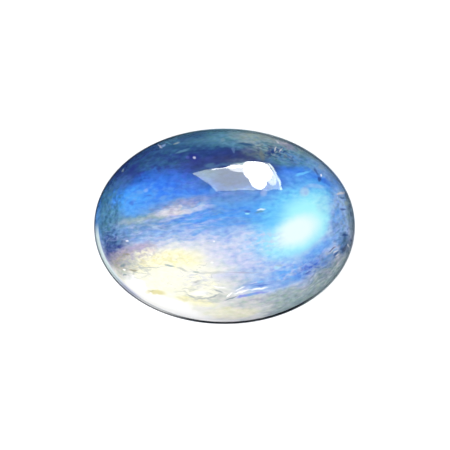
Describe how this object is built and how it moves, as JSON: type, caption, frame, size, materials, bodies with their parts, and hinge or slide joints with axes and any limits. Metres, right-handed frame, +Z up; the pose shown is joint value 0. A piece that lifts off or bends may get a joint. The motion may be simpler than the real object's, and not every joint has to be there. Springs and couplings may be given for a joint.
{
  "type": "moonstone cabochon",
  "caption": "Polished oval moonstone cabochon: a high smooth dome over a thin girdle, with a bevelled flat back that it rests on.",
  "frame": {"origin": "middle of the flat back, on the surface that the stone lies on", "axes": "+X along the stone's long axis, +Y across it, +Z up through the crown of the dome"},
  "size_m": [0.016, 0.012, 0.0062],
  "materials": {
    "moonstone": "polished translucent feldspar with a blue sheen"
  },
  "bodies": {
    "root": {"moonstone": "moonstone"}
  },
  "joints": []
}
